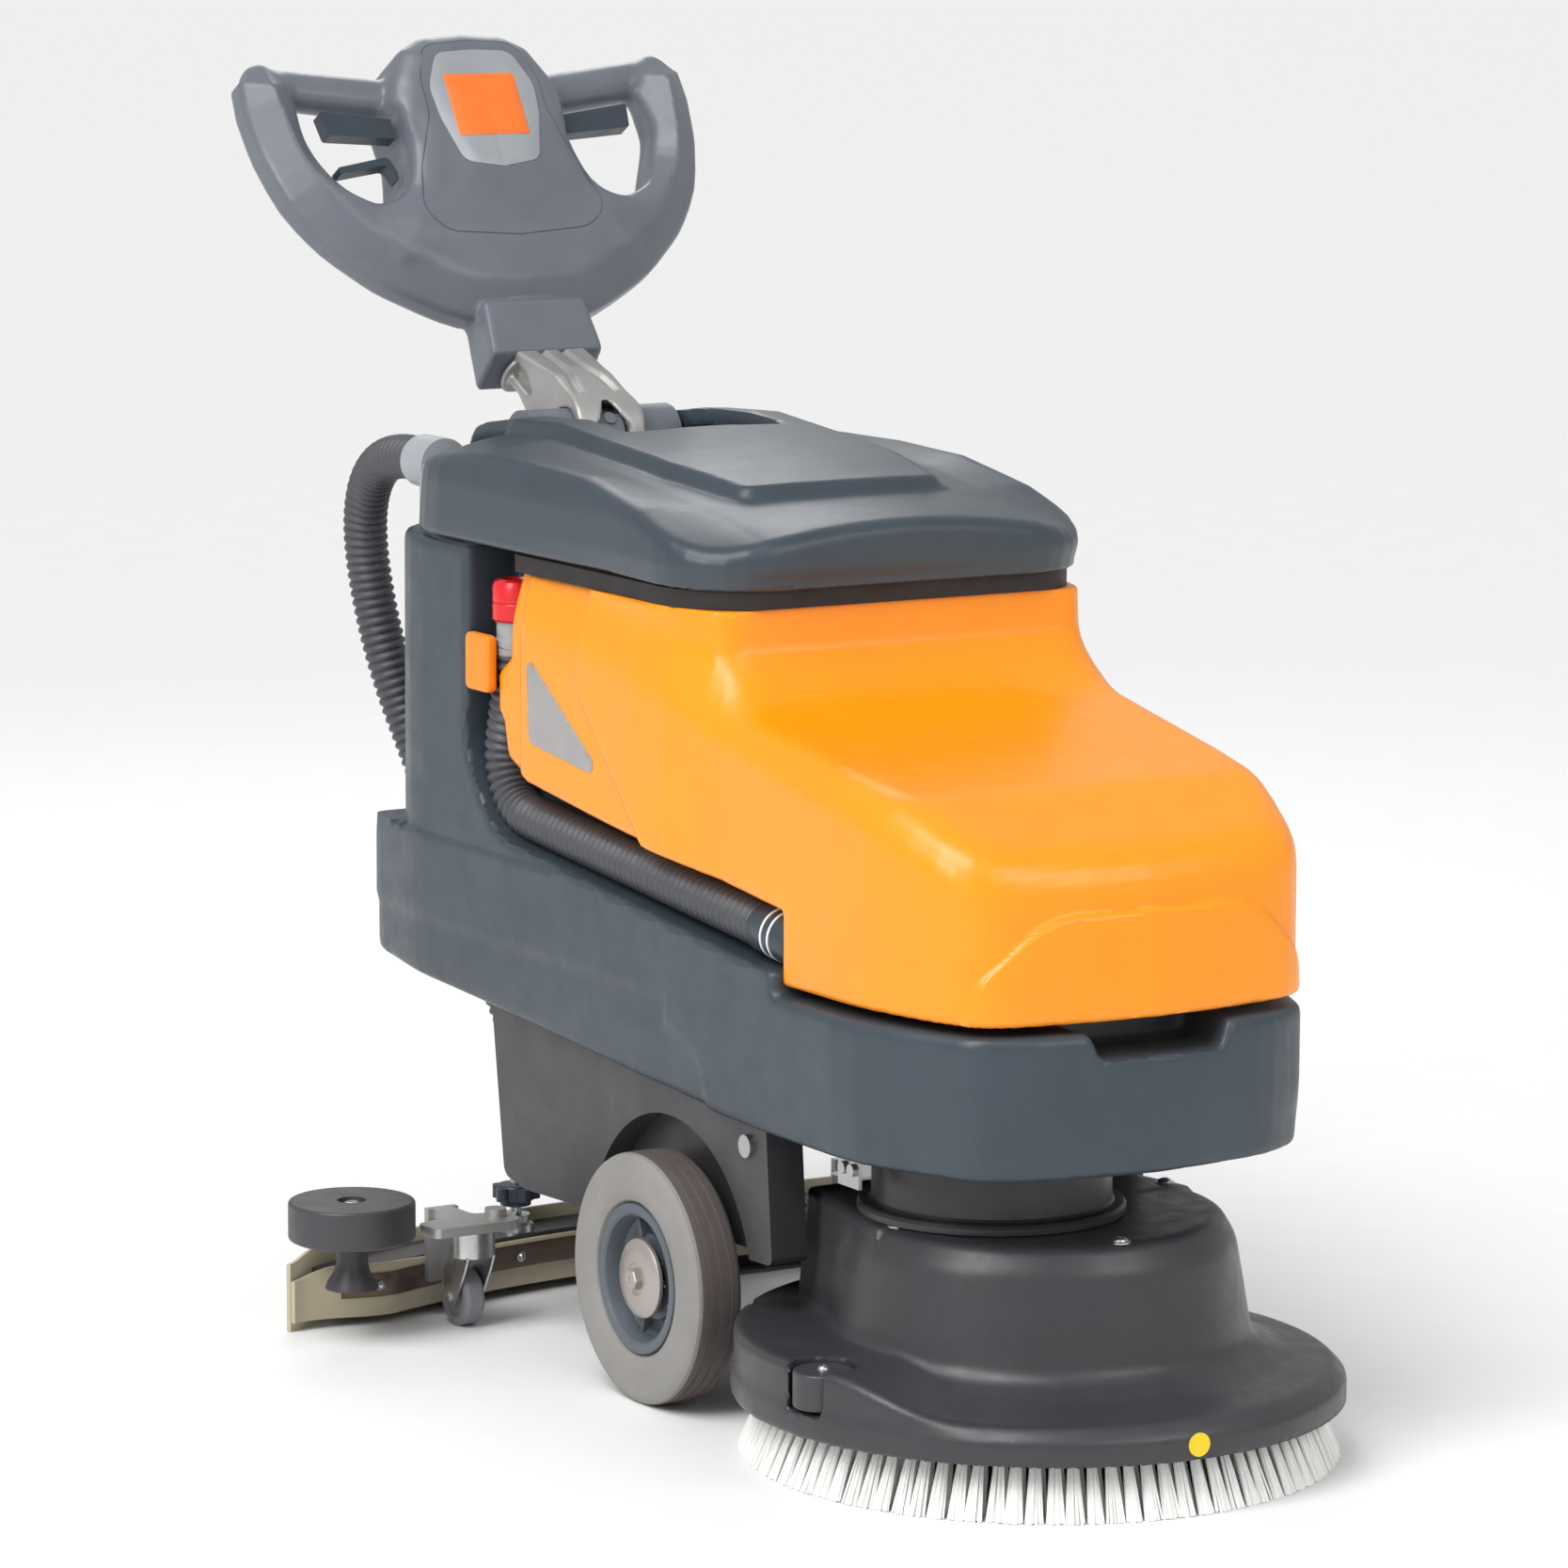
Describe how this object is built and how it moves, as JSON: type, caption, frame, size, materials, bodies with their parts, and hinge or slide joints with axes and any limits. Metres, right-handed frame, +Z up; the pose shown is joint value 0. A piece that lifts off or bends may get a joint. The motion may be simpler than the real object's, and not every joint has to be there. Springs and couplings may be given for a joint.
{
  "type": "walk-behind floor scrubber",
  "caption": "Walk-behind floor scrubber with stacked tanks, looped steering handle, disc brush deck, rear squeegee on casters and hoses.",
  "frame": {"origin": "centre of the object's box in plan, on the floor", "axes": "+X forward towards the brush deck, +Y to the operator's left, +Z up"},
  "size_m": [1.2334, 0.706, 1.0497],
  "materials": {
    "shell_dark": "fine moulded grain",
    "tank_orange": "smooth satin moulding",
    "lid_grey": "soft satin moulding",
    "deck_grey": "moulded satin",
    "handle_grey": "smooth satin moulding",
    "painted_dark": "powder coat",
    "tyre_grey": "matte rubber",
    "rim_plastic": "moulded satin",
    "zinc": "zinc plated",
    "cast_metal": "cast, bead blasted",
    "steel": "satin",
    "hose_ribbed": "ribbed flexible hose",
    "black_plastic": "moulded",
    "seal_rubber": "matte",
    "blade_rubber": "translucent polyurethane",
    "bristle_white": "nylon bristle tufts",
    "red_plastic": "gloss",
    "clip_orange": "moulded",
    "light_grey": "moulded",
    "silver_badge": "satin plate",
    "label_orange": "printed film",
    "yellow_dot": "printed film",
    "battery_case": "moulded case",
    "roller_grey": "hard rubber",
    "wheel_tan": "hard rubber"
  },
  "bodies": {
    "machine": {"base_tank": "shell_dark", "chassis_housing": "deck_grey", "housing_fittings": "steel", "axle": "steel", "recovery_tank": "tank_orange", "tank_badge": "silver_badge", "battery_left": "battery_case", "battery_right": "battery_case", "battery_tray": "painted_dark", "control_box": "black_plastic", "suction_turbine": "black_plastic", "suction_elbow": "light_grey", "suction_hose": "hose_ribbed", "drain_hose": "hose_ribbed", "drain_fittings": "light_grey", "hose_clip": "clip_orange", "hinge_barrel": "handle_grey"},
    "lid": {"lid": "lid_grey", "lid_seal": "seal_rubber"},
    "handle": {"handle_frame": "handle_grey", "label_shield": "light_grey", "label_plate": "label_orange", "control_panel": "black_plastic", "hinge_bracket": "cast_metal"},
    "paddle_left": {"paddle_left": "black_plastic"},
    "paddle_right": {"paddle_right": "black_plastic"},
    "water_lever": {"water_lever": "light_grey"},
    "button_power": {"button_power": "red_plastic"},
    "button_brush": {"button_brush": "light_grey"},
    "wheel_left": {"tyre_left": "tyre_grey", "rim_left": "rim_plastic", "hub_cap_left": "light_grey"},
    "wheel_right": {"tyre_right": "tyre_grey", "rim_right": "rim_plastic", "hub_cap_right": "light_grey"},
    "deck": {"deck_hood": "deck_grey", "motor_housing": "painted_dark", "deck_screws": "steel", "level_dot": "yellow_dot"},
    "brush": {"brush_plate": "black_plastic", "bristle_ring": "bristle_white"},
    "deck_roller": {"deck_roller": "roller_grey"},
    "squeegee_arm": {"squeegee_arm": "painted_dark"},
    "squeegee": {"squeegee_body": "painted_dark", "blade_front": "blade_rubber", "blade_rear": "blade_rubber", "blade_strap": "steel", "suction_nozzle": "light_grey", "caster_bracket_left": "cast_metal", "caster_bracket_right": "cast_metal"},
    "bumper_left": {"bumper_roller_left": "roller_grey"},
    "bumper_right": {"bumper_roller_right": "roller_grey"},
    "caster_left": {"caster_fork_left": "zinc"},
    "caster_right": {"caster_fork_right": "zinc"},
    "caster_wheel_left": {"caster_wheel_left": "wheel_tan"},
    "caster_wheel_right": {"caster_wheel_right": "wheel_tan"},
    "knob_left": {"stud_knob_left": "black_plastic"},
    "knob_right": {"stud_knob_right": "black_plastic"},
    "drain_cap": {"drain_cap": "red_plastic"}
  },
  "joints": [
    {"name": "wheel_left_spin", "type": "hinge", "parent": "machine", "child": "wheel_left", "pos_m": [0.1108, 0.183, 0.1], "axis": [0, 1, 0], "continuous": true},
    {"name": "wheel_right_spin", "type": "hinge", "parent": "machine", "child": "wheel_right", "pos_m": [0.1108, -0.183, 0.1], "axis": [0, 1, 0], "continuous": true},
    {"name": "deck_lift", "type": "slide", "parent": "machine", "child": "deck", "axis": [0, 0, 1], "range_m": [0, 0.025]},
    {"name": "brush_spin", "type": "hinge", "parent": "deck", "child": "brush", "pos_m": [0.3808, 0, 0.05], "axis": [0, 0, 1], "continuous": true},
    {"name": "deck_roller_spin", "type": "hinge", "parent": "deck", "child": "deck_roller", "pos_m": [0.4138, -0.214, 0.08], "axis": [0, 0, 1], "continuous": true},
    {"name": "squeegee_lift", "type": "hinge", "parent": "machine", "child": "squeegee_arm", "pos_m": [-0.0992, 0, 0.146], "axis": [0, 1, 0], "range_deg": [0, 12], "deforming": ["suction_hose"]},
    {"name": "squeegee_swivel", "type": "hinge", "parent": "squeegee_arm", "child": "squeegee", "pos_m": [-0.2852, 0, 0.07], "axis": [0, 0, 1], "range_deg": [-15, 15]},
    {"name": "bumper_left_spin", "type": "hinge", "parent": "squeegee", "child": "bumper_left", "pos_m": [-0.1852, 0.301, 0.1], "axis": [0, 0, 1], "continuous": true},
    {"name": "bumper_right_spin", "type": "hinge", "parent": "squeegee", "child": "bumper_right", "pos_m": [-0.1852, -0.301, 0.1], "axis": [0, 0, 1], "continuous": true},
    {"name": "caster_left_swivel", "type": "hinge", "parent": "squeegee", "child": "caster_left", "pos_m": [-0.1722, 0.197, 0.075], "axis": [0, 0, 1], "continuous": true},
    {"name": "caster_right_swivel", "type": "hinge", "parent": "squeegee", "child": "caster_right", "pos_m": [-0.1722, -0.197, 0.075], "axis": [0, 0, 1], "continuous": true},
    {"name": "caster_wheel_left_spin", "type": "hinge", "parent": "caster_left", "child": "caster_wheel_left", "pos_m": [-0.1882, 0.197, 0.0245], "axis": [0, 1, 0], "continuous": true},
    {"name": "caster_wheel_right_spin", "type": "hinge", "parent": "caster_right", "child": "caster_wheel_right", "pos_m": [-0.1882, -0.197, 0.0245], "axis": [0, 1, 0], "continuous": true},
    {"name": "knob_left_turn", "type": "hinge", "parent": "squeegee", "child": "knob_left", "pos_m": [-0.2827, 0.096, 0.08], "axis": [0, 0, 1], "continuous": true},
    {"name": "knob_right_turn", "type": "hinge", "parent": "squeegee", "child": "knob_right", "pos_m": [-0.2827, -0.096, 0.08], "axis": [0, 0, 1], "continuous": true},
    {"name": "handle_tilt", "type": "hinge", "parent": "machine", "child": "handle", "pos_m": [-0.3192, 0, 0.712], "axis": [0, 1, 0], "range_deg": [-20, 25]},
    {"name": "paddle_left_press", "type": "hinge", "parent": "handle", "child": "paddle_left", "pos_m": [-0.54483, 0, 0.96754], "axis": [0, 1, 0], "range_deg": [0, 10], "stiffness_Nm_per_rad": 0.6},
    {"name": "paddle_right_press", "type": "hinge", "parent": "handle", "child": "paddle_right", "pos_m": [-0.54483, 0, 0.96754], "axis": [0, 1, 0], "range_deg": [0, 10], "stiffness_Nm_per_rad": 0.6},
    {"name": "water_lever_turn", "type": "hinge", "parent": "handle", "child": "water_lever", "pos_m": [-0.50004, 0, 0.92212], "axis": [0, 1, 0], "range_deg": [-12, 12]},
    {"name": "button_power_press", "type": "slide", "parent": "handle", "child": "button_power", "axis": [0.8572, 0, 0.515], "range_m": [0, 0.002], "stiffness_N_per_m": 400},
    {"name": "button_brush_press", "type": "slide", "parent": "handle", "child": "button_brush", "axis": [0.8572, 0, 0.515], "range_m": [0, 0.002], "stiffness_N_per_m": 400},
    {"name": "lid_open", "type": "hinge", "parent": "machine", "child": "lid", "pos_m": [-0.3532, 0, 0.66], "axis": [0, -1, 0], "range_deg": [0, 60]},
    {"name": "drain_cap_twist", "type": "hinge", "parent": "machine", "child": "drain_cap", "pos_m": [-0.1571, -0.162, 0.605], "axis": [0, 0, 1], "range_deg": [0, 90]}
  ]
}
